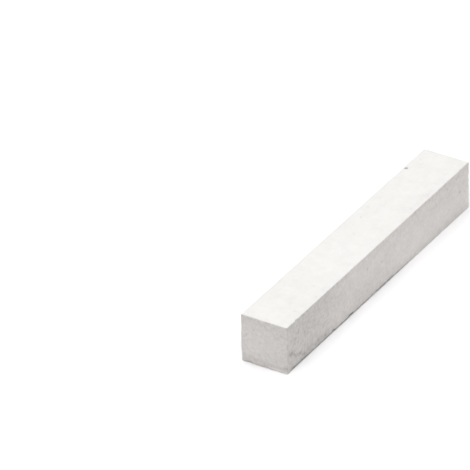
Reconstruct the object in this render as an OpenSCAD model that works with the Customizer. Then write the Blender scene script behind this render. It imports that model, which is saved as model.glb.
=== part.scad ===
// Stick of natural chalk, sawn square from the block.
//
// One solid. The long axis lies along X, with the near end at -X, and the stick rests on
// its bed face at z = 0. The origin is the middle of that face. Lengths are millimetres.
//
// The stick is the sawn block with its arrises rubbed round, less one flat rubbed along an
// arris, and less the hollows that chips, flakes and pits have left. Every hollow is a
// scoop: a ball that bites into the stick. Depths along an arris or at a corner are
// measured from the sharp, unrubbed block.

/* [Stick] */
// Length between the two sawn ends
stick_length = 80; // [40:1:120]
// Width from side to side
stick_width = 11.7; // [9:0.1:16]
// Height from the bed face to the top face
stick_height = 12; // [9:0.1:16]

/* [Rubbed arrises] */
// Radius on the two long arrises of the top face
top_wear = 0.12; // [0.06:0.02:0.5]
// Radius on the two long arrises of the bed face
bed_wear = 0.14; // [0.06:0.02:0.5]
// Radius on the arrises round each end
end_wear = 0.12; // [0.06:0.02:0.5]

/* [Flaked lower arris of the near end] */
// Length of the flaked stretch, from the left corner
flaked_stretch = 7.2; // [4:0.1:11]
// Number of flakes lost, side by side
flake_count = 6; // [3:1:12]
// Depth of the deepest of them
flake_bite = 0.24; // [0.24:0.02:0.6]
// Distance from the left side to the middle of the large flake
large_flake_at = 2; // [1:0.1:4]
// Length of the large flake along the arris
large_flake_span = 3; // [1.5:0.1:4]
// Depth of the large flake
large_flake_bite = 0.32; // [0.32:0.02:0.8]
// Distance from the left side to the start of the raised flakes, which leave a lip below
raised_start = 5.6; // [3:0.1:6.5]
// Distance from the left side to the finish of the raised flakes
raised_finish = 10; // [7.5:0.1:10.5]
// Number of raised flakes, side by side
raised_count = 6; // [3:1:8]
// Height of their middles above the bed face
raised_rise = 0.5; // [0.4:0.05:1]
// Depth of a raised flake
raised_bite = 0.14; // [0.08:0.01:0.24]

/* [Lower corners of the near end] */
// Width of the chip out of the left corner
left_chip_span = 1.2; // [0.8:0.1:2.5]
// Depth of that chip
left_chip_bite = 0.35; // [0.25:0.05:0.8]
// Height of the chip over the right corner above the bed face
right_chip_rise = 0.95; // [0.6:0.05:2]
// Width of that chip
right_chip_span = 1.6; // [0.8:0.1:2.5]
// Depth of that chip
right_chip_bite = 0.34; // [0.2:0.02:0.8]

/* [Rubbed upright arris of the near end] */
// Height above the bed face up to which the left arris is rubbed in
rub_rise = 4.4; // [2:0.1:7]
// Depth of the rub, where it reaches the bed face
rub_bite = 0.2; // [0.14:0.02:0.5]

/* [Crumbled streak on the right side] */
// Distance from the near end to the upper end of the streak
streak_start = 1.2; // [0.8:0.1:4]
// Height of the upper end of the streak above the bed face
streak_top = 4.5; // [3:0.1:7]
// Distance from the near end to the lower end of the streak
streak_finish = 6.6; // [4.5:0.1:12]
// Height of the lower end of the streak above the bed face
streak_foot = 2; // [1.2:0.1:2.8]
// Number of crumbs lost along it
crumb_count = 12; // [4:1:18]
// Farthest that a crumb strays above or below the streak
crumb_stray = 0.6; // [0:0.1:1]
// Width of the widest crumb
crumb_width = 1.5; // [0.8:0.1:2.5]
// Depth of the deepest crumb
crumb_depth = 0.24; // [0.1:0.02:0.4]

/* [Flat rubbed along the right arris of the bed face] */
// Distance from the near end to the start of the flat
flat_start = 0.8; // [0.4:0.1:3]
// Distance from the near end to the finish of the flat
flat_finish = 58; // [50:1:78]
// Length over which the flat widens from its start
flat_onset = 2; // [1:0.5:6]
// Length over which the flat narrows to its finish
flat_fade = 14; // [2:1:30]
// Width of the flat where it is widest
flat_width = 0.42; // [0.2:0.02:0.8]

/* [Nicks and spalls in the right arrises] */
// Distance from the near end to the nick in the arris of the top face
top_nick_at = 4; // [2:0.1:30]
// Length of that nick
top_nick_span = 1; // [0.6:0.1:2]
// Depth of that nick
top_nick_bite = 0.3; // [0.2:0.02:0.5]
// Distance from the near end to the nick in the arris of the bed face
bed_nick_at = 19.8; // [12:0.1:22]
// Length of that nick
bed_nick_span = 1.7; // [1:0.1:2.5]
// Depth of that nick
bed_nick_bite = 0.46; // [0.3:0.02:0.7]
// Distance from the near end to the first spall in the arris of the bed face
first_spall_at = 27.3; // [24:0.1:32]
// Length of the first spall
first_spall_span = 2.4; // [1:0.1:6]
// Distance from the near end to the second spall
second_spall_at = 38; // [34:0.1:41]
// Length of the second spall
second_spall_span = 3.2; // [1:0.1:6]
// Distance from the near end to the third spall
third_spall_at = 43; // [42:0.1:50]
// Length of the third spall
third_spall_span = 2; // [1:0.1:6]
// Depth of the three spalls
spall_bite = 0.4; // [0.24:0.02:0.5]

/* [Small nicks on every arris] */
// Number of small nicks along each long arris
long_nicks = 7; // [0:1:12]
// Number of small nicks along each arris of an end
end_nicks = 2; // [0:1:4]
// Length of the longest small nick
nick_span = 1.3; // [0.8:0.1:2.5]
// Depth of the deepest small nick
nick_bite = 0.2; // [0.12:0.01:0.4]

/* [Pits] */
// Distance from the near end to the pit in the top face
top_pit_at = 70.6; // [10:0.1:76]
// Distance from the left arris of the top face to the middle of that pit
top_pit_inset = 0.75; // [0.6:0.05:3]
// Width of the mouth of that pit
top_pit_width = 0.8; // [0.4:0.1:1.2]
// Depth of that pit
top_pit_depth = 0.32; // [0.1:0.02:0.5]
// Distance from the near end to the pit in the right side
side_pit_at = 40.9; // [10:0.1:76]
// Height of the middle of that pit above the bed face
side_pit_rise = 6.7; // [2:0.1:10]
// Width of the mouth of that pit
side_pit_width = 0.7; // [0.4:0.1:1.2]
// Depth of that pit
side_pit_depth = 0.2; // [0.1:0.02:0.5]
// Number of small pits scattered over each long face
small_pits = 2; // [0:1:6]
// Width of the mouth of the widest small pit
small_pit_width = 0.5; // [0.3:0.1:1]

/* [Hidden] */

// Depth of a small pit as a share of the width of its mouth
small_pit_share = 0.35;
// Least size of what is scattered, as a share of the largest
least_share = 0.45;
// Share of a face's half length and half width that small pits keep within
face_share = 0.86;
// Share of an arris's half length that small nicks keep within
arris_share = 0.97;
// Length of a flake beside the stretch of arris that it takes up, so that flakes meet
flake_overlap = 1.3;
// Size of the last crumb of the streak, as a share of what it would be at the first
last_crumb_share = 0.6;
// Numbers that start each scatter
flake_seed = 23;
crumb_seed = 5;
nick_seed = 40;
pit_seed = 70;

// Signs that name a side of the stick in each axis
near_end = -1;
right = -1;
left = 1;
bed = -1;
top = 1;

// Point on the sharp block at three shares of its half sizes, each from -1 to 1.
function on_block(x, y, z) = [
    x * stick_length / 2,
    y * stick_width / 2,
    (z + 1) * stick_height / 2
];

// Share of the half length at a distance from the near end.
function from_near(distance) = 2 * distance / stick_length - 1;

// Share of the half width at a distance from the left side.
function from_left(distance) = 1 - 2 * distance / stick_width;

// Share of the half height at a height above the bed face.
function above_bed(rise) = 2 * rise / stick_height - 1;

// Sizes scattered between the largest and its least share.
function scattered(largest, count, seed) =
    rands(least_share * largest, largest, count, seed);

// Sum of the first count values of a list.
function sum_of(values, count) =
    count == 0 ? 0 : values[count - 1] + sum_of(values, count - 1);

// Rectangle that stands on the X axis, with its two lower and two upper corners rounded.
module rubbed_rectangle(across, up, low_r, high_r) {
    translate([-across / 2, low_r]) square([across, up - low_r - high_r]);
    translate([low_r - across / 2, 0]) square([across - 2 * low_r, up / 2]);
    translate([high_r - across / 2, up / 2]) square([across - 2 * high_r, up / 2]);
    for (side = [-1, 1]) {
        translate([side * (across / 2 - low_r), low_r]) circle(low_r, $fn = 32);
        translate([side * (across / 2 - high_r), up - high_r]) circle(high_r, $fn = 32);
    }
}

// The sawn block with its twelve arrises rubbed round: its section, its side view and
// its plan, each carried through the block, and what the three have in common.
module rubbed_block() {
    intersection() {
        rotate([90, 0, 90])
            linear_extrude(height = stick_length, center = true)
                rubbed_rectangle(stick_width, stick_height, bed_wear, top_wear);
        rotate([90, 0, 0])
            linear_extrude(height = stick_width, center = true)
                rubbed_rectangle(stick_length, stick_height, end_wear, end_wear);
        linear_extrude(height = stick_height)
            translate([0, -stick_width / 2])
                rubbed_rectangle(stick_length, stick_width, end_wear, end_wear);
    }
}

// Ball that bites in against out, with a mouth of the given span at the point.
module scoop(at, out, span, bite) {
    ball_r = (pow(span / 2, 2) + pow(bite, 2)) / (2 * bite);
    translate(at + (ball_r - bite) * out / norm(out)) sphere(ball_r, $fn = 40);
}

// Flakes lost side by side along the lower arris of the near end, from its left corner.
// Their lengths differ, and a long flake is a deep one. A large flake lies among them.
module flaked_arris() {
    lengths = scattered(1, flake_count, flake_seed);
    unit = flaked_stretch / sum_of(lengths, flake_count);
    leans = rands(0.4, 1.6, flake_count, flake_seed + 1);
    for (i = [0 : flake_count - 1]) {
        place = unit * (sum_of(lengths, i) + lengths[i] / 2);
        at = on_block(near_end, from_left(place), bed);
        out = [near_end, 0, bed * leans[i]];
        scoop(at, out, flake_overlap * unit * lengths[i], flake_bite * lengths[i]);
    }
    large_at = on_block(near_end, from_left(large_flake_at), bed);
    scoop(large_at, [near_end, 0, bed], large_flake_span, large_flake_bite);
}

// Shallow flakes lost side by side out of the near end, just above its lower arris, which
// they have left standing below them as a lip.
module raised_flakes() {
    pitch = (raised_finish - raised_start) / raised_count;
    shares = rands(0.8, 1.2, raised_count, flake_seed + 2);
    for (i = [0 : raised_count - 1]) {
        place = from_left(raised_start + pitch * (i + 0.5));
        at = on_block(near_end, place, above_bed(raised_rise * shares[i]));
        scoop(at, [near_end, 0, 0], flake_overlap * pitch, raised_bite * shares[i]);
    }
}

// Chips at the two lower corners of the near end: the left one takes the corner, and the
// right one is out of the upright arris above it.
module corner_chips() {
    left_corner = on_block(near_end, left, bed);
    right_arris = on_block(near_end, right, above_bed(right_chip_rise));
    scoop(left_corner, [near_end, left, bed], left_chip_span, left_chip_bite);
    scoop(right_arris, [near_end, right, 0], right_chip_span, right_chip_bite);
}

// Left upright arris of the near end, rubbed in from the bed face up to a height.
module rubbed_upright() {
    scoop(on_block(near_end, left, bed), [near_end, left, 0], 2 * rub_rise, rub_bite);
}

// Flat rubbed at 45 degrees along the right arris of the bed face. A flat is twice as wide
// as it is deep.
module rubbed_flat() {
    depth = flat_width / 2;
    side_view = [
        [flat_start, 0],
        [flat_start + flat_onset, depth],
        [flat_finish - flat_fade, depth],
        [flat_finish, 0]
    ];
    translate(on_block(near_end, right, bed))
        rotate([45, 0, 0])
            linear_extrude(height = 2 * flat_width, center = true)
                polygon(side_view);
}

// Crumbs lost along a streak that runs down the right side from near its near end. They
// stray above and below the streak, and dwindle along it.
module crumbled_streak() {
    widths = scattered(crumb_width, crumb_count, crumb_seed);
    depths = scattered(crumb_depth, crumb_count, crumb_seed + 1);
    strays = rands(-crumb_stray, crumb_stray, crumb_count, crumb_seed + 2);
    for (i = [0 : crumb_count - 1]) {
        share = (i + 0.5) / crumb_count;
        size = 1 - (1 - last_crumb_share) * share;
        along = streak_start + share * (streak_finish - streak_start);
        rise = streak_top + share * (streak_foot - streak_top) + strays[i];
        at = on_block(from_near(along), right, above_bed(rise));
        scoop(at, [0, right, 0], size * widths[i], size * depths[i]);
    }
}

// The single nick in the right arris of the top face.
module top_nick() {
    at = on_block(from_near(top_nick_at), right, top);
    scoop(at, [0, right, top], top_nick_span, top_nick_bite);
}

// The nick and the three spalls in the right arris of the bed face.
module bed_losses() {
    out = [0, right, bed];
    nick = on_block(from_near(bed_nick_at), right, bed);
    first_spall = on_block(from_near(first_spall_at), right, bed);
    second_spall = on_block(from_near(second_spall_at), right, bed);
    third_spall = on_block(from_near(third_spall_at), right, bed);
    scoop(nick, out, bed_nick_span, bed_nick_bite);
    scoop(first_spall, out, first_spall_span, spall_bite);
    scoop(second_spall, out, second_spall_span, spall_bite);
    scoop(third_spall, out, third_spall_span, spall_bite);
}

// Small nicks scattered along one arris, given by its middle, the run from there to one
// of its ends and the way out of the stick.
module nicked_arris(middle, run, out, count, seed) {
    places = rands(-arris_share, arris_share, count, seed);
    spans = scattered(nick_span, count, seed + 1);
    bites = scattered(nick_bite, count, seed + 2);
    for (i = [0 : 1 : count - 1]) {
        scoop(middle + places[i] * run, out, spans[i], bites[i]);
    }
}

// Small nicks on the four arrises that lie along each axis, each with a scatter of its own.
module small_nicks() {
    long_run = [stick_length / 2, 0, 0];
    cross_run = [0, stick_width / 2, 0];
    upright_run = [0, 0, stick_height / 2];
    for (a = [-1, 1]) {
        for (b = [-1, 1]) {
            seed = nick_seed + 3 * (a + 1) + 9 * (b + 1);
            nicked_arris(on_block(0, a, b), long_run, [0, a, b], long_nicks, seed);
            nicked_arris(on_block(a, 0, b), cross_run, [a, 0, b], end_nicks, seed + 100);
            nicked_arris(on_block(a, b, 0), upright_run, [a, b, 0], end_nicks, seed + 200);
        }
    }
}

// The two single pits: one in the top face, close to its left arris, and one in the middle
// of the right side.
module single_pits() {
    on_top = on_block(from_near(top_pit_at), from_left(top_pit_inset), top);
    on_side = on_block(from_near(side_pit_at), right, above_bed(side_pit_rise));
    scoop(on_top, [0, 0, top], top_pit_width, top_pit_depth);
    scoop(on_side, [0, right, 0], side_pit_width, side_pit_depth);
}

// Small pits scattered over the two sides, the bed face and the top face.
module face_pits() {
    for (face = [0 : 3]) {
        way = face % 2 == 0 ? -1 : 1;
        on_side = face < 2;
        out = on_side ? [0, way, 0] : [0, 0, way];
        along = rands(-face_share, face_share, small_pits, pit_seed + face);
        over = rands(-face_share, face_share, small_pits, pit_seed + face + 10);
        widths = scattered(small_pit_width, small_pits, pit_seed + face + 20);
        for (i = [0 : 1 : small_pits - 1]) {
            at = on_side ? on_block(along[i], way, over[i]) : on_block(along[i], over[i], way);
            scoop(at, out, widths[i], small_pit_share * widths[i]);
        }
    }
}

module chalk_stick() {
    color([0.94, 0.93, 0.91])
        difference() {
            rubbed_block();
            flaked_arris();
            raised_flakes();
            corner_chips();
            rubbed_upright();
            rubbed_flat();
            crumbled_streak();
            top_nick();
            bed_losses();
            small_nicks();
            single_pits();
            face_pits();
        }
}

chalk_stick();
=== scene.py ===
# %% [markdown]
# # A stick of natural chalk
# Natural chalk is a soft white limestone, and this stick of it was sawn square from the
# block. It is one piece and nothing on it moves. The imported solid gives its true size, its
# rubbed arrises and the hollows of its chips and pits. This lesson dresses that solid: it
# lays a fine skin over it, roughens the skin as the saw and the hand leave soft stone,
# and gives it the dry, powdery surface that chalk has.

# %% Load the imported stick
import math

import bmesh
import bpy
import numpy as np
from mathutils import Matrix, Vector, noise
from mathutils.bvhtree import BVHTree


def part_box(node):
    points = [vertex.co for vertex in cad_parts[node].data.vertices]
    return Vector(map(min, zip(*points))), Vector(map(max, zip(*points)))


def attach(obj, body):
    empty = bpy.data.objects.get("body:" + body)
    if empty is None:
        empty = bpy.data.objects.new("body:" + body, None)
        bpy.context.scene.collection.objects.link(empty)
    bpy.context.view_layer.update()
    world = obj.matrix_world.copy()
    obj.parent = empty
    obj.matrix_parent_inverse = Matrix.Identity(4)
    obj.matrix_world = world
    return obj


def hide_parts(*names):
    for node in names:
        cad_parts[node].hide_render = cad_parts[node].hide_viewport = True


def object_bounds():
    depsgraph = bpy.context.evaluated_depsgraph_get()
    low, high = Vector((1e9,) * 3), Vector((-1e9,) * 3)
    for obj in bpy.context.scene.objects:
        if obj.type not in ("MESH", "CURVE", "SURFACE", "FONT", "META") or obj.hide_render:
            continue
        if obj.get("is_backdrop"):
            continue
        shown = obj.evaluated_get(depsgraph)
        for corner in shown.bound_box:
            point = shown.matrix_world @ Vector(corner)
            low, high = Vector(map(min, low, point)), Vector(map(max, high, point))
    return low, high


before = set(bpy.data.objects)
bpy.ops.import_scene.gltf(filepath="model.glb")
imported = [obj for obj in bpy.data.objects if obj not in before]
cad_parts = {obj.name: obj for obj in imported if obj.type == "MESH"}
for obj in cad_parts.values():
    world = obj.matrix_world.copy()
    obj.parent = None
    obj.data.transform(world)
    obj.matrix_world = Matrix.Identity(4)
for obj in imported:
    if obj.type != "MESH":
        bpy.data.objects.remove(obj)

SOLID = "chalk_stick"
MM = 0.001
cad_box = [list(corner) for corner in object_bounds()]
low, high = (np.array(corner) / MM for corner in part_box(SOLID))
print("stick, in mm:", np.round(high - low, 2))

# %% [markdown]
# ## Small helpers
# Colours are written as the hex values that a paint or a screen would show, and one
# function turns them to the linear values that light adds up in. Shader trees are wired
# with one function too, so that each step of a material is a single readable line.

# %% Colours and nodes


def linear(hex_colour):
    """An sRGB hex colour as linear red, green, blue and alpha."""
    parts = [int(hex_colour[i:i + 2], 16) / 255 for i in (1, 3, 5)]
    return [c / 12.92 if c <= 0.04045 else ((c + 0.055) / 1.055) ** 2.4 for c in parts] + [1.0]


def add_node(tree, kind, settings=None, **links):
    """A new node. Settings are its properties. Links go to its sockets by name, or by
    place as _0, _1 and so on: a value is set on the socket, and another node's socket
    is joined to it."""
    node = tree.nodes.new("ShaderNode" + kind)
    for name, value in (settings or {}).items():
        setattr(node, name, value)
    for name, value in links.items():
        key = int(name[1:]) if name[1:].isdigit() else name.replace("_", " ")
        socket = node.inputs[key]
        if isinstance(value, bpy.types.NodeSocket):
            tree.links.new(value, socket)
        else:
            socket.default_value = value
    return node


def new_material(name):
    """An empty material, and the tree that its nodes go in."""
    material = bpy.data.materials.new(name)
    material.use_nodes = True
    material.node_tree.nodes.clear()
    return material, material.node_tree


print("the paint value #808080 in linear light:", round(linear("#808080")[0], 3))

# %% [markdown]
# ## The skin
# A sawn stick could be a box with a bevel, but a box has no vertices in its faces to
# roughen. So the skin is a lattice wrapped round the sharp block: lines of vertices
# along the three axes, close together near the arrises, where the shape turns, and
# even in between. Only the vertices on the block's surface are kept.

# %% Lay out the lattice
# Sizes in mm. A rim of narrow cells runs along each arris, and the cells between are about
# as wide as a grain of fine sand. Vertices on the block's surface are numbered in turn, and
# the places inside it keep -1 and get no vertex.
RIM = 0.7
RIM_CELLS = 7
LONG_CELL = 0.205
CROSS_CELL = 0.255


def stations(start, end, cell):
    """Places along one axis: a finely cut rim at each end and even cells between."""
    rim = np.linspace(0, RIM, RIM_CELLS + 1)
    between = round((end - start - 2 * RIM) / cell)
    middle = np.linspace(start + RIM, end - RIM, between + 1)
    return np.concatenate([start + rim[:-1], middle, end - rim[-2::-1]])


cuts = [stations(low[i], high[i], LONG_CELL if i == 0 else CROSS_CELL) for i in range(3)]
corner_ids = np.full([len(c) for c in cuts], -1)
on_skin = np.zeros(corner_ids.shape, bool)
on_skin[[0, -1]] = on_skin[:, [0, -1]] = on_skin[:, :, [0, -1]] = True
corner_ids[on_skin] = np.arange(on_skin.sum())
sharp = np.stack(np.meshgrid(*cuts, indexing="ij"), -1)[on_skin]


def sheet_quads(sheet, flip):
    """The four corners of each cell of one face's sheet of vertices, wound to face out."""
    ring = np.stack([sheet[:-1, :-1], sheet[1:, :-1], sheet[1:, 1:], sheet[:-1, 1:]], -1)
    ring = ring.reshape(-1, 4)
    return ring[:, ::-1] if flip else ring


skin_quads = np.concatenate([
    sheet_quads(corner_ids[0], True),
    sheet_quads(corner_ids[-1], False),
    sheet_quads(corner_ids[:, 0], False),
    sheet_quads(corner_ids[:, -1], True),
    sheet_quads(corner_ids[:, :, 0], True),
    sheet_quads(corner_ids[:, :, -1], False),
])
print("skin:", len(sharp), "vertices,", 2 * len(skin_quads), "triangles")

# %% [markdown]
# ## Press the skin onto the solid
# Each vertex looks straight in at the solid and moves to where it meets it. On a flat
# face that way in is the face's normal, and near an arris it fans out by degrees, so the
# vertices spread evenly round the rubbed edge. What the solid has lost to chips and pits
# is then in the skin as well. The depth of that loss is kept for the steps that follow.

# %% Cast each vertex onto the solid
# The fan's radius, how far outside the block a cast starts, and the radius of an arris that
# has lost nothing, all in mm. TINY keeps a length from being divided by nothing.
FAN = 1.6
STAND_OFF = 0.3
SOUND_RADIUS = 0.17
TINY = 1e-6
# How much stone, in mm, has to be lost for a place to begin to count as broken, and to count
# fully.
BROKEN_FROM, BROKEN_FULL = 0.02, 0.1

solid_mesh = bmesh.new()
solid_mesh.from_mesh(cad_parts[SOLID].data)
solid_tree = BVHTree.FromBMesh(solid_mesh)
solid_mesh.free()


def way_out(points, radius):
    """Unit directions out of the block, fanning round the arrises within the radius, and
    how far each point lies outside the block whose arrises have that radius."""
    core = np.clip(points, low + radius, high - radius)
    arm = points - core
    reach = np.linalg.norm(arm, axis=1, keepdims=True)
    return arm / np.maximum(reach, TINY), reach[:, 0] - radius


outward, _ = way_out(sharp, FAN)
pressed = sharp.copy()
for i, (point, out) in enumerate(zip(sharp, outward)):
    start = Vector((point + STAND_OFF * out) * MM)
    hit, *_ = solid_tree.ray_cast(start, Vector(-out))
    pressed[i] = np.array(hit) / MM
_, proud = way_out(pressed, SOUND_RADIUS)
loss = np.clip(-proud, 0, None)
print("vertices where stone has broken away:", int((loss > BROKEN_FULL).sum()))

# %% [markdown]
# ## Tools for a natural surface
# Stone has no pattern that repeats, so every rule below is built from three things: a
# smooth noise whose lumps have a real size in millimetres, a soft step, and a soft hump.
# They work on all the vertices at once, and the places they work on are plain distances
# from the stick's own faces.

# %% Noise, steps and humps
# Each seed looks at the same endless noise from another place, this many lumps further on.
SEED_STEP = (17.3, 5.1, 9.7)
# Each octave's lumps are half as wide as the last one's, and half as strong.
FADE, FINER = 1.0, 2.0


def lumps(points, size, octaves, seed):
    """Smooth noise from 0 to 1 with lumps of that size in mm, one value a point."""
    shift = Vector([seed * step for step in SEED_STEP])
    values = [
        noise.fractal(Vector(p / size) + shift, FADE, FINER, octaves, noise_basis="PERLIN_NEW")
        for p in points
    ]
    return np.clip(np.array(values) * 0.5 + 0.5, 0, 1)


def ramp(values, start, end):
    """A smooth step from 0 at start to 1 at end."""
    t = np.clip((values - start) / (end - start), 0, 1)
    return t * t * (3 - 2 * t)


def bell(values, middle, half_width):
    """A smooth hump, 1 at the middle."""
    return np.exp(-((values - middle) / half_width) ** 2)


def stretch(values, start, full, fade, finish):
    """1 from full to fade, and 0 before the start and after the finish."""
    return ramp(values, start, full) * (1 - ramp(values, fade, finish))


from_end = pressed[:, 0] - low[0]
from_far = high[0] - pressed[:, 0]
from_right = pressed[:, 1] - low[1]
from_left = high[1] - pressed[:, 1]
rise = pressed[:, 2] - low[2]
below_top = high[2] - pressed[:, 2]
print("vertices within 10 mm of the near end:", int((from_end < 10).sum()))

# %% [markdown]
# ## Roughen the stone
# Three things happen to a sawn face of soft stone. The saw and the hand leave it slightly
# uneven at every size from a few millimetres down to a grain. The arrises crumble, a grain
# at a time, so no edge is a ruled line. And where stone has broken away, the face is
# coarser than a sawn one. A displacement modifier could do the first, but not tell the
# three apart, so each is its own noise here. Each only takes stone away, so that the stick
# stays within its true outline. The foot that it stands on is left full, and on its right
# side it is filled out a little.

# %% Uneven faces, crumbling arrises and broken faces
# Each noise has the size of its lumps and the depth that it takes off, in mm. The grit is
# coarser than chalk's own grain, which no mesh of this fineness can hold. Crumbling starts
# where its noise passes one value and is full at the next, within a band along each arris.
UNEVEN_SIZE, UNEVEN_DEPTH = 5.0, 0.06
GRIT_SIZE, GRIT_DEPTH = 0.55, 0.012
CRUMBLE_SIZE, CRUMBLE_DEPTH = 1.1, 0.08
BROKEN_SIZE, BROKEN_DEPTH = 0.5, 0.06
CRUMBLE_FROM, CRUMBLE_FULL = 0.45, 0.85
ARRIS_BAND = 0.35

# Only near an arris are two faces close by, so the distance to the second one tells.
to_second_face = np.sort(np.minimum(pressed - low, high - pressed), axis=1)[:, 1]
near_arris = 1 - ramp(to_second_face, 0, ARRIS_BAND)
broken = ramp(loss, BROKEN_FROM, BROKEN_FULL)
crumbled = ramp(lumps(pressed, CRUMBLE_SIZE, octaves=3, seed=2), CRUMBLE_FROM, CRUMBLE_FULL)
depth = UNEVEN_DEPTH * lumps(pressed, UNEVEN_SIZE, octaves=4, seed=1)
depth += GRIT_DEPTH * lumps(pressed, GRIT_SIZE, octaves=1, seed=4)
depth += CRUMBLE_DEPTH * near_arris * crumbled
depth += BROKEN_DEPTH * broken * lumps(pressed, BROKEN_SIZE, octaves=2, seed=3)
print("stone taken off by roughening, mean in mm:", round(float(depth.mean()), 3))
print("share of the skin on broken stone:", round(float(broken.mean()), 3))

# %% Leave the foot full
# Nothing is taken off up to the first height above the table, and all of it from the second
# on. The same holds for how far in a place lies under the stick. Along the right foot the
# skin fills the arris out. All in mm.
FOOT_FULL, FOOT_ROUGH = 0.4, 1.4
FOOT_FILL = 0.08

from_sides = np.minimum.reduce([from_end, from_far, from_right, from_left])
depth *= ramp(np.maximum(rise, from_sides), FOOT_FULL, FOOT_ROUGH)
depth -= FOOT_FILL * (1 - ramp(np.maximum(rise, from_right), FOOT_FULL / 2, FOOT_FULL))
rough = np.clip(pressed - outward * depth[:, None], low, high)
print("fullest and deepest places, in mm:", np.round([-depth.min(), depth.max()], 3))

# %% [markdown]
# ## Where the stick is soiled, and where shade is painted
# White stone shows every touch. This stick has stood and been handled by its near end, so
# its right side is grey there and cleaner further on, grime has gone into its hollows and
# pores, and a few small marks lie here and there. The dark along its foot, over its broken
# lip and in its hollows, pits and pores is painted shade as well. Painting that by hand would
# fix it to one mesh. Here each patch or spot is one row of a table, in millimetres along the
# face and up it, and all of them add up to one value a vertex for the material.

# %% Which face each vertex lies on
# How deep a hollow may be and still belong to its face, and how far to each side of an arris
# one face blends into the next, in mm.
FACE_BAND = 0.6
ARRIS_BLEND = 0.12


def on_face(inset, *neighbours):
    """1 on the face that the inset is measured from, fading to 0 just inside the stick
    and, across an arris, where a neighbouring face is nearer."""
    nearer = ramp(np.minimum.reduce(neighbours) - inset, -ARRIS_BLEND, ARRIS_BLEND)
    return (1 - ramp(inset, FACE_BAND / 2, FACE_BAND)) * nearer


right_side = on_face(from_right, from_end, below_top)
end_face = on_face(from_end, from_right, from_left, below_top)
top_face = on_face(below_top, from_end, from_right, from_left)
print("vertices on the right side:", int((right_side > 0.5).sum()))

# %% Broad grey, and painted shade along the foot
# Each row: strength, then where it starts, is full, fades and ends, along the face and up it.
# A start below 0, or an end past the stick's own, lets it run off that edge. The rows noted
# as painted shade darken the foot and the overhang above the broken lip, and the others are
# broad grey patches and bands.
ALL = (-2, -1, 90, 91)
SIDE_GREY = (
    (0.140, (-2, -1, 8, 28), ALL),  # the handled end
    (0.055, (-2, -1, 20, 34), (5.0, 7.0, 8.2, 10.2)),  # a band above the middle
    (0.045, (-2, -1, 42, 50), (-2, -1, 4, 8)),  # low down, as far as half way
    (0.110, (5, 7, 16, 20), (-0.2, 0.9, 1.5, 2.6)),  # a strip above the near foot
    (0.070, ALL, (5, 12, 13, 14)),  # greyer towards the top
    # Painted shade just above the foot, where the table shades it.
    (0.050, ALL, (0.1, 0.7, 1.1, 1.7)),  # just above the foot, all along
    (0.050, (50, 56, 90, 91), (10.6, 11.1, 13, 14)),  # under the top arris, far part
    # Painted shade where the foot meets the table, in two dark lines.
    (0.250, (0.6, 1.6, 5, 8), (0.2, 0.5, 0.7, 1.1)),  # a dark line at the near foot
    (0.300, (36, 38, 44, 47), (0.1, 0.3, 0.5, 0.8)),  # and one half way along
    (0.035, (26, 29, 33, 37), (0.3, 1.0, 4.5, 6.0)),  # a faint patch low down
    (0.035, (30, 35, 45, 50), (0.4, 0.9, 1.6, 2.4)),  # a faint strip above the foot
    (0.045, (12, 16, 24, 30), (10.6, 11.1, 13, 14)),  # under the top arris, near part
    (0.030, (60, 65, 90, 91), (5.0, 6.2, 8.6, 9.6)),  # a faint band at the far end
    # Painted shade along the far foot, in this row and the next.
    (0.040, (68, 71, 90, 91), (0.7, 0.9, 1.4, 1.8)),  # above the far foot
    (0.090, (50, 66, 90, 91), (0.0, 0.15, 0.55, 0.8)),  # the far foot
)
END_GREY = (
    (0.090, ALL, (7, 12, 13, 14)),  # greyer towards the top
    (0.030, (4, 8, 90, 91), ALL),  # the right half
    # Painted shade low on the left, where flakes have broken from the foot.
    (0.110, (0, 1, 5.4, 7.4), (-0.4, 0.7, 1.3, 2.4)),  # above the foot on the left
    (0.030, (-2, -1, 0.8, 2), (2.5, 3.5, 8, 9)),  # half way up the left arris
    # Painted shade on the overhang above the broken lip.
    (0.130, (6.5, 7.5, 9.5, 11), (0.65, 0.9, 1.2, 1.7)),  # over the broken lip
    (0.040, (-2, -1, 1.0, 1.8), (0.2, 0.6, 3.4, 4.2)),  # low on the left arris
    (-0.035, (6.5, 8, 10.5, 11.3), (9.2, 10.4, 13, 14)),  # a cleaner place, upper right
    (0.035, (10, 10.7, 90, 91), (3.5, 5.0, 7.5, 9.0)),  # half way up the right arris
    # Painted shade where the foot meets the table, in this row and the next.
    (0.300, (3.5, 5, 10, 10.8), (-2, -1, 0.1, 0.3)),  # the very foot
    (0.120, (6.5, 7.3, 10, 10.8), (-2, -1, 0.1, 0.3)),  # and more of it on the right
)
# The grey is uneven, in patches of this size in mm. They have PATCH_LEAST of its strength
# and up to PATCH_SPREAD more.
PATCH_SIZE = 2.4
PATCH_LEAST, PATCH_SPREAD = 0.75, 0.5


def grey(rows, along):
    """The summed strength of all the rows at each vertex."""
    return sum(share * stretch(along, *across) * stretch(rise, *up) for share, across, up in rows)


patches = PATCH_LEAST + PATCH_SPREAD * lumps(pressed, PATCH_SIZE, octaves=3, seed=6)
grime_and_shade = patches * (right_side * grey(SIDE_GREY, from_end) + end_face * grey(END_GREY, from_left))
print("mean grey on the right side:", round(float(grime_and_shade[right_side > 0.5].mean()), 3))

# %% Painted shade along the foot and in the pits, and grime with painted shade in the hollows
# Painted shade along the right foot, where the stick meets the table: its strength, how high
# its middle lies, half its width, where it runs, and the patches that break it up, which are
# set as the patches above are.
FOOT_SHADE, FOOT_SHADE_RISE, FOOT_SHADE_HALF = 0.6, 0.37, 0.2
FOOT_SHADE_ALONG = (0.8, 2.5, 46, 58)
FOOT_SHADE_PATCH_SIZE = 1.6
FOOT_SHADE_LEAST, FOOT_SHADE_SPREAD = 0.35, 1.3
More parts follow.
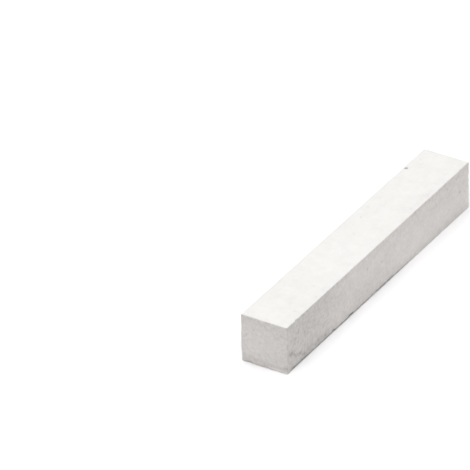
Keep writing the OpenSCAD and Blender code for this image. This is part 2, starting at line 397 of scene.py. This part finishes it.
# Broken hollows are darkened a little, and those in the crumbled streak more, partly by grime
# and partly as painted shade. The streak is the part above this height and up to this far
# along, and the side's pits lie past it. A pit is darkened most, as painted shade. It is a
# place that has lost so much stone, in mm.
HOLLOW_GRIME_AND_SHADE, STREAK_GRIME_AND_SHADE = 0.12, 0.14
SIDE_PIT_SHADE, TOP_PIT_SHADE = 0.6, 0.6
STREAK_RISE = (1.2, 2.0)
STREAK_END = (7, 9)
PIT_LOSS = (0.12, 0.17)

foot_shade = right_side * bell(rise, FOOT_SHADE_RISE, FOOT_SHADE_HALF) * stretch(from_end, *FOOT_SHADE_ALONG)
foot_shade_patches = FOOT_SHADE_LEAST + FOOT_SHADE_SPREAD * lumps(pressed, FOOT_SHADE_PATCH_SIZE, octaves=3, seed=7)
foot_shade *= np.minimum(FOOT_SHADE * foot_shade_patches, 1)
near_streak = right_side * ramp(rise, *STREAK_RISE) * (1 - ramp(from_end, *STREAK_END))
hollow_grime_and_shade = broken * (HOLLOW_GRIME_AND_SHADE + STREAK_GRIME_AND_SHADE * near_streak)
pit_shade = TOP_PIT_SHADE * top_face + SIDE_PIT_SHADE * right_side * ramp(from_end, *STREAK_END)
pit_shade *= (1 - near_arris) * ramp(loss, *PIT_LOSS)
grime_and_shade = 1 - (1 - grime_and_shade) * (1 - foot_shade) * (1 - hollow_grime_and_shade) * (1 - pit_shade)
print("share of the skin with grime on it:", round(float((grime_and_shade > 0.2).mean()), 3))

# %% Single marks on the right side
# Each row: place along the face, place up it, half sizes the same way, strength. A mark of
# less than nothing is a cleaner spot. Noise sways each mark's outline, so none is a plain oval.
SIDE_MARKS = (
    (1.2, 4.5, 0.9, 0.7, 0.18),
    (2.5, 4.3, 0.8, 0.5, 0.16),
    (1.2, 6.5, 0.7, 1.5, -0.08),
    (5.0, 8.0, 1.0, 1.0, 0.08),
    (5.0, 3.5, 1.0, 0.6, -0.12),
    (7.6, 1.6, 1.2, 0.4, 0.16),
    (5.0, 7.5, 1.0, 0.4, -0.12),
    (12.2, 10.0, 1.6, 1.1, 0.06),
    (13.5, 2.3, 1.3, 0.7, 0.09),
    (16.0, 1.1, 0.9, 0.4, 0.16),
    (17.0, 9.4, 2.0, 1.6, 0.05),
    (43.0, 8.0, 2.5, 1.0, 0.05),
    (7.3, 1.1, 1.0, 0.4, -0.10),
    (10.5, 1.0, 1.2, 0.4, 0.06),
    (1.2, 3.5, 0.6, 0.5, 0.06),
)
SWAY_SIZE, SWAY = 1.3, 1.6


def smudges(along, across, marks):
    """What soft oval marks add up to at each vertex."""
    shapes = [
        strength * bell(along, at_a, half_a) * bell(across, at_b, half_b)
        for at_a, at_b, half_a, half_b, strength in marks
    ]
    return np.sum(shapes, axis=0)


sway_a = SWAY * (lumps(pressed, SWAY_SIZE, octaves=3, seed=8) - 0.5)
sway_b = SWAY * (lumps(pressed, SWAY_SIZE, octaves=3, seed=9) - 0.5)
grime_and_shade += right_side * smudges(from_end + sway_a, rise + sway_b, SIDE_MARKS)
print("marks on the right side:", len(SIDE_MARKS))

# %% Single marks on the top and the near end
# The same rows, across from the right edge of the top, and along from the left of the end.
TOP_MARKS = (
    (63.2, 1.25, 1.8, 0.5, 0.10),
    (7.4, 2.4, 0.9, 0.8, 0.05),
    (9.3, 4.2, 0.5, 0.5, 0.05),
    (17.5, 1.3, 0.5, 0.4, 0.05),
    (17.5, 4.0, 0.6, 0.5, 0.05),
    (9.5, 8.5, 0.6, 0.5, 0.05),
    (20.0, 8.5, 0.6, 0.5, 0.05),
    (72.8, 2.0, 0.5, 0.4, 0.05),
    (78.5, 8.0, 0.6, 0.5, 0.05),
    (8.0, 0.8, 9.0, 0.45, 0.02),
    (60.0, 1.0, 6.0, 0.9, 0.02),
)
END_MARKS = (
    # Painted shade in a flake just above the foot on the left.
    (1.9, 0.5, 0.6, 0.4, 0.24),
    (5.0, 3.0, 0.7, 1.0, 0.06),
    (3.5, 1.7, 1.2, 0.4, 0.06),
    # Painted shade in the chip at the right foot corner.
    (11.0, 1.3, 0.6, 0.6, 0.20),
    (0.7, 11.5, 0.5, 0.4, 0.15),
)

grime_and_shade += top_face * smudges(from_end + sway_a, from_right + sway_b, TOP_MARKS)
grime_and_shade += end_face * smudges(from_left + sway_a, rise + sway_b, END_MARKS)
print("marks on the top and the end:", len(TOP_MARKS), "and", len(END_MARKS))

# %% Pores
# A pore is a spot where a grain has fallen out, darkened by painted shade and by the dirt that
# it holds. Each pair: place along, then up or across.
SIDE_PORES = (
    (3.6, 7.4), (4.8, 8.3), (3.5, 2.8), (5.6, 2.4), (7.4, 7.0), (13.3, 1.7), (15.5, 3.9),
    (17.6, 5.8), (31.0, 2.3), (34.6, 8.2), (58.0, 8.0), (65.2, 8.3), (70.1, 9.9), (74.3, 10.4),
    (75.1, 10.8), (75.6, 6.2), (78.1, 5.2),
)
TOP_PORES = (
    (6.8, 1.9), (14.2, 1.2), (40.6, 7.1), (52.0, 10.1), (56.1, 1.3), (58.7, 10.4), (75.3, 9.9),
)
END_PORES = ((3.2, 4.1), (9.0, 2.4), (5.3, 10.7), (4.7, 2.8), (10.1, 9.2), (3.2, 8.8), (1.4, 7.1))
PORE_HALF = 0.3
SIDE_PORE, TOP_PORE, END_PORE = 0.27, 0.12, 0.12


def pore_shade_and_dirt(along, across, places, strength):
    """What the painted shade and dirt of small sharp pores add up to at each vertex."""
    return smudges(along, across, [(a, b, PORE_HALF, PORE_HALF, strength) for a, b in places])


grime_and_shade += right_side * pore_shade_and_dirt(from_end, rise, SIDE_PORES, SIDE_PORE)
grime_and_shade += top_face * pore_shade_and_dirt(from_end, from_right, TOP_PORES, TOP_PORE)
grime_and_shade += end_face * pore_shade_and_dirt(from_left, rise, END_PORES, END_PORE)
print("pores:", len(SIDE_PORES + TOP_PORES + END_PORES))

# %% Soiled arris, and painted shade in specks at the foot and in a pit
# The arris along the top is touched most. Grime and painted shade together never cover stone
# more than FULL_COVER. Dark specks do: they are painted shade at two places on the foot and in
# the pit on the top, and their rows are like those of the marks.
ARRIS_GREY, ARRIS_ALONG = 0.08, (-2, -1, 30, 50)
FULL_COVER = 0.735
FOOT_SPECK_SHADE = ((19.6, 0.46, 0.7, 0.27, 1.1), (27.2, 0.46, 1.3, 0.26, 1.1))
TOP_PIT_SPECK_SHADE = ((70.4, 0.65, 0.3, 0.24, 0.8),)

top_arris = near_arris * on_face(below_top, from_end) * on_face(from_right, from_end)
grime_and_shade += ARRIS_GREY * top_arris * stretch(from_end, *ARRIS_ALONG)
grime_and_shade = FULL_COVER * np.clip(grime_and_shade, 0, 1)
speck_shade = on_face(from_right, from_end) * smudges(from_end, rise, FOOT_SPECK_SHADE)
speck_shade += top_face * smudges(from_end, from_left, TOP_PIT_SPECK_SHADE)
grime_and_shade = np.maximum(grime_and_shade, speck_shade)
print("heaviest grime:", round(float(grime_and_shade.max()), 2))

# %% Fresh white stone with painted light on the lip, and how strongly the grain shows
# The broken lip at the end's foot is whiter, as newly broken stone and as painted light where it
# stands out into the lamps, and grime and painted shade are gone from it. The weak rows are
# wide places that are just lighter. The grain shows least on the top, which is rubbed smoothest.
END_FRESH_AND_LIT = ((8.6, 0.42, 1.5, 0.28, 1.4), (11.5, 0.1, 0.5, 0.35, 1.2), (3.0, 0.45, 0.5, 0.2, 0.4))
TOP_LIGHTER = ((2.5, 4.0, 3.0, 5.0, 0.13), (29.0, 5.2, 9.0, 4.5, 0.14))
SIDE_LIGHTER = ((57.5, 3.2, 9.5, 1.6, 0.12),)
SIDE_GRAIN, END_GRAIN, TOP_GRAIN = 0.7, 0.95, 0.15

fresh_and_lit = end_face * smudges(from_left, rise, END_FRESH_AND_LIT)
fresh_and_lit += top_face * smudges(from_end, from_right, TOP_LIGHTER)
fresh_and_lit += right_side * smudges(from_end, rise, SIDE_LIGHTER)
grime_and_shade *= 1 - np.clip(fresh_and_lit, 0, 1)
grain = SIDE_GRAIN + (END_GRAIN - SIDE_GRAIN) * end_face + (TOP_GRAIN - SIDE_GRAIN) * top_face
print("freshest stone:", round(float(fresh_and_lit.max()), 2))

# %% [markdown]
# ## One closed mesh
# The lattice's vertices and cells now become one closed mesh in metres. The four values
# worked out above go with it as attributes, one number a vertex, which a material reads by
# name. They could be painted as pictures instead, but pictures need the skin unwrapped flat,
# and an attribute needs nothing and stays with its vertex.

# %% Make the mesh
skin = bpy.data.meshes.new("chalk_skin")
skin.from_pydata((rough * MM).tolist(), [], skin_quads.tolist())
for name, values in (("broken", broken), ("grime_and_shade", grime_and_shade), ("fresh_and_lit", fresh_and_lit), ("grain", grain)):
    skin.attributes.new(name, "FLOAT", "POINT").data.foreach_set("value", values)
skin.shade_smooth()
skin.validate()
stick = bpy.data.objects.new("chalk_stick_skin", skin)
bpy.context.scene.collection.objects.link(stick)
print("skin mesh:", len(skin.vertices), "vertices")

# %% [markdown]
# ## Natural chalk, as sawn
# Chalk is almost pure calcite in grains far finer than dust, with no polish and no
# binder. Light sinks a little way in among the grains and comes out scattered, so the
# surface is white, flat and dry, with no highlight, and as bright at its rim as in its
# middle. A single white would look like plastic. So the white is cloudy and grainy, it turns
# towards black by the share of grime and painted shade that each vertex carries, and freshly
# broken stone, with the painted light on the broken lip, is whitest. The powder that the saw
# leaves is a fine bump, coarser where stone has broken away.

# %% What the skin tells the material
chalk, tree = new_material("natural_chalk_sawn")
place = add_node(tree, "TexCoord").outputs["Object"]
told = {
    name: add_node(tree, "Attribute", {"attribute_name": name}).outputs["Fac"]
    for name in ("broken", "grime_and_shade", "fresh_and_lit", "grain")
}
print("values read from the skin:", ", ".join(told))

# %% Cloudy, grainy white
# Two near whites, warmed a little by traces of clay. The clouds in the stone are a few
# millimetres across and drawn at their real size. Chalk's grains are thousandths of a
# millimetre, too fine to show, so the grain is drawn as coarse as the clumps they form.
CHALK_WHITE = "#F9F8F6"
CHALK_GREY = "#E8E7E5"
CLOUD_MM = 2.2
GRAIN_MM = 0.8
# How far the clouds range between the two whites, and how far the grain swings the tone.
CLOUD_LEAST, CLOUD_MOST = 0.3, 0.7
GRAIN_SWING = 0.5

# Noise seldom leaves its middle half, so each Map Range stretches about that part. In a Mix
# of colours, sockets 6 and 7 are the two colours and output 2 is the result.
cloud = add_node(
    tree, "TexNoise",
    Vector=place, Scale=1 / (CLOUD_MM * MM), Detail=3.0, Roughness=0.6,
)
cloudy = add_node(
    tree, "MapRange",
    Value=cloud.outputs[0],
    From_Min=0.25, From_Max=0.75, To_Min=CLOUD_LEAST, To_Max=CLOUD_MOST,
)
grains = add_node(
    tree, "TexNoise",
    Vector=place, Scale=1 / (GRAIN_MM * MM), Detail=3.0, Roughness=0.75,
)
grainy = add_node(
    tree, "MapRange",
    Value=grains.outputs[0],
    From_Min=0.3, From_Max=0.7, To_Min=-GRAIN_SWING, To_Max=GRAIN_SWING,
)
tone = add_node(
    tree, "Math", {"operation": "MULTIPLY_ADD"},
    _0=told["grain"], _1=grainy.outputs[0], _2=cloudy.outputs[0],
)
whiter = add_node(tree, "Math", {"operation": "ADD"}, _0=tone.outputs[0], _1=told["fresh_and_lit"])
white_stone = add_node(
    tree, "Mix", {"data_type": "RGBA"},
    Factor=whiter.outputs[0], _6=linear(CHALK_GREY), _7=linear(CHALK_WHITE),
)
print("clouds and clumps of grains, in mm:", CLOUD_MM, "and", GRAIN_MM)

# %% Grime and painted shade on the stone
# Bench grime and the painted shade share one nearly neutral black. Both lie heaviest where the
# clumps of grains are darkest, so neither is ever even.
GRIME_AND_SHADE_BLACK = "#3A3938"
PATCHY = 0.8

uneven_cover = add_node(
    tree, "Math", {"operation": "MULTIPLY_ADD"},
    _0=grainy.outputs[0], _1=-PATCHY, _2=1.0,
)
cover = add_node(tree, "Math", {"operation": "MULTIPLY"}, _0=told["grime_and_shade"], _1=uneven_cover.outputs[0])
soiled_and_shaded = add_node(
    tree, "Mix", {"data_type": "RGBA"},
    Factor=cover.outputs[0], _6=white_stone.outputs[2], _7=linear(GRIME_AND_SHADE_BLACK),
)
print("grime, in linear light:", np.round(linear(GRIME_AND_SHADE_BLACK)[:3], 3))

# %% Powder from the saw
# The powder is finer than a hundredth of a millimetre, so its bump is drawn coarser than it
# is, and three times as deep where the stone is broken.
POWDER_MM = 0.25
POWDER_DEPTH_MM = 0.02
POWDER_STRENGTH = 0.5
BROKEN_MORE = 2.0

powder = add_node(tree, "TexNoise", Vector=place, Scale=1 / (POWDER_MM * MM), Detail=2.0)
coarser = add_node(
    tree, "Math", {"operation": "MULTIPLY_ADD"},
    _0=told["broken"], _1=BROKEN_MORE, _2=1.0,
)
height = add_node(
    tree, "Math", {"operation": "MULTIPLY"},
    _0=powder.outputs[0], _1=coarser.outputs[0],
)
bump = add_node(
    tree, "Bump",
    Height=height.outputs[0], Strength=POWDER_STRENGTH, Distance=POWDER_DEPTH_MM * MM,
)
print("powder drawn at, in mm:", POWDER_MM)

# %% The dry surface, and the stick finished
# Calcite bends light by 1.49 to 1.66, and 1.59 is about its mean. Plaster and chalk are
# rougher than 0.9. The plain specular level is 0.5, and loose powder returns less of a
# sheen than that. A full diffuse roughness keeps the rim as bright as the middle.
CALCITE_IOR = 1.59
DRY_ROUGHNESS = 0.95
POWDER_SHEEN = 0.2
POWDER_SCATTER = 1.0

surface = add_node(
    tree, "BsdfPrincipled",
    Base_Color=soiled_and_shaded.outputs[2],
    Normal=bump.outputs[0],
    Roughness=DRY_ROUGHNESS,
    Diffuse_Roughness=POWDER_SCATTER,
    IOR=CALCITE_IOR,
    Specular_IOR_Level=POWDER_SHEEN,
)
add_node(tree, "OutputMaterial", Surface=surface.outputs[0])
skin.materials.append(chalk)
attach(stick, "root")
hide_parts(SOLID)
print("nodes in the chalk:", len(tree.nodes))

# %% [markdown]
# ## The white table
# The stick lies on a plain white table top that runs out to a white surround. Lit softly, a
# real white table still comes out a light grey. So what the eye sees of it is made a little
# brighter than paint can be, and the light that it throws back at the stick comes from a
# true paint white. Its shadow under the stick stays, because it is lit as any surface is.

# %% Table top
# Half its width in metres, the paint that throws light back, the white that is seen, and
# how many times brighter that is made.
TABLE_HALF = 3.0
TABLE_PAINT = "#ECE4E2"
TABLE_SEEN = "#FDFEFF"
SEEN_GAIN = 1.178


def seen_directly(nodes):
    """1 for what is looked at, also in a gloss or through glass, and 0 for bounced light."""
    ray = add_node(nodes, "LightPath").outputs
    bare = add_node(
        nodes, "Math", {"operation": "MAXIMUM"},
        _0=ray["Is Camera Ray"], _1=ray["Is Glossy Ray"],
    )
    seen = add_node(
        nodes, "Math", {"operation": "MAXIMUM"},
        _0=bare.outputs[0], _1=ray["Is Transmission Ray"],
    )
    return seen.outputs[0]


table_white, paint = new_material("white_table_paint")
thrown_back = add_node(paint, "BsdfDiffuse", Color=linear(TABLE_PAINT))
looked_at = add_node(paint, "BsdfDiffuse", Color=[c * SEEN_GAIN for c in linear(TABLE_SEEN)])
either = add_node(
    paint, "MixShader",
    Fac=seen_directly(paint), _1=thrown_back.outputs[0], _2=looked_at.outputs[0],
)
add_node(paint, "OutputMaterial", Surface=either.outputs[0])

corners = [(x * TABLE_HALF, y * TABLE_HALF, 0) for x, y in ((-1, -1), (1, -1), (1, 1), (-1, 1))]
table_mesh = bpy.data.meshes.new("table_top")
table_mesh.from_pydata(corners, [], [(0, 1, 2, 3)])
table_mesh.materials.append(table_white)
table = bpy.data.objects.new("table_top", table_mesh)
bpy.context.scene.collection.objects.link(table)
table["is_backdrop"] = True
print("table top, in m:", 2 * TABLE_HALF, "square")

# %% White surround
# The surround is white to look at and throws no light of its own: the lamps do all of that.
studio = bpy.data.worlds.new("studio")
bpy.context.scene.world = studio
studio.use_nodes = True
air = studio.node_tree
air.nodes.clear()
white = add_node(air, "Background", Color=linear("#FFFFFF"), Strength=seen_directly(air))
add_node(air, "OutputWorld", Surface=white.outputs[0])
print("nodes in the surround:", len(air.nodes))

# %% [markdown]
# ## Soft light
# White stone shows its form only by slight differences of grey, and a hard lamp would drown
# them. A bright sky would be softest, but it lights every face alike. So four wide softboxes
# stand round the stick: one overhead for the top, which is brightest, one beyond the far left
# corner, one by the right side and one by the near end. They are set so that the upright
# faces come out a light grey and chalk renders about as white as it is written.

# %% Softboxes


def softbox(name, place, size, power):
    """A round softbox of that width in metres and power in watts, aimed at the stick."""
    data = bpy.data.lights.new(name, "AREA")
    data.shape = "DISK"
    data.size = size
    data.energy = power
    lamp = bpy.data.objects.new(name, data)
    lamp.location = place
    lamp.rotation_euler = Vector(place).to_track_quat("Z", "Y").to_euler()
    bpy.context.scene.collection.objects.link(lamp)
    return lamp


lamps = (
    softbox("overhead_softbox", (0.0, 0.0, 0.6), 1.4, 3.36),
    softbox("far_softbox", (0.45, 0.45, 0.8), 0.7, 2.58),
    softbox("right_softbox", (0.0, -0.6, 0.8), 0.7, 2.78),
    softbox("near_softbox", (-0.6, 0.0, 0.8), 0.7, 3.42),
)
print("softboxes, in W:", [round(lamp.data.energy, 2) for lamp in lamps])

# %% [markdown]
# ## The camera
# A camera close by would make the far end much smaller than the near one. This one stands
# well back with a long lens, as for a product, so the long arrises run nearly side by side.
# It looks down on the near right corner, from where the end, the right side and the top
# all show. It is placed by three angles, a distance and the point it looks at, which is
# easier to set than a position and a rotation.

# %% Camera
# The farthest that it sees is in metres, past the table's corners.
VIEW_AZIMUTH = math.radians(-58.34)
VIEW_ELEVATION = math.radians(31.97)
VIEW_ROLL = math.radians(-0.87)
VIEW_DISTANCE = 1464.65 * MM
VIEW_CENTRE = Vector((3.37, 33.70, 0)) * MM
LENS_MM, SENSOR_MM = 500, 36
FARTHEST_SEEN = 20

camera_data = bpy.data.cameras.new("camera")
camera_data.lens = LENS_MM
camera_data.sensor_width = SENSOR_MM
camera_data.clip_end = FARTHEST_SEEN
camera = bpy.data.objects.new("camera", camera_data)
bpy.context.scene.collection.objects.link(camera)
back = Vector((
    math.sin(VIEW_AZIMUTH) * math.cos(VIEW_ELEVATION),
    -math.cos(VIEW_AZIMUTH) * math.cos(VIEW_ELEVATION),
    math.sin(VIEW_ELEVATION),
))
turn = back.to_track_quat("Z", "Y").to_matrix().to_4x4()
roll = Matrix.Rotation(VIEW_ROLL, 4, "Z")
camera.matrix_world = Matrix.Translation(VIEW_CENTRE + VIEW_DISTANCE * back) @ turn @ roll
bpy.context.scene.camera = camera
bpy.context.scene.view_settings.view_transform = "Standard"
print("camera stands, in mm:", np.round(np.array(camera.matrix_world.translation) / MM, 1))

# %% [markdown]
# ## Record the sizes
# Dressing a solid must not make it bigger. Both boxes are kept, the imported solid's
# from the start and the dressed stick's now, and the last line prints how far apart they are.

# %% Record the sizes and finish
visual_box = [list(corner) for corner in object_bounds()]
apart = np.abs(np.subtract(visual_box, cad_box)).max() / MM
print("greatest difference between the boxes, in mm:", round(float(apart), 3))
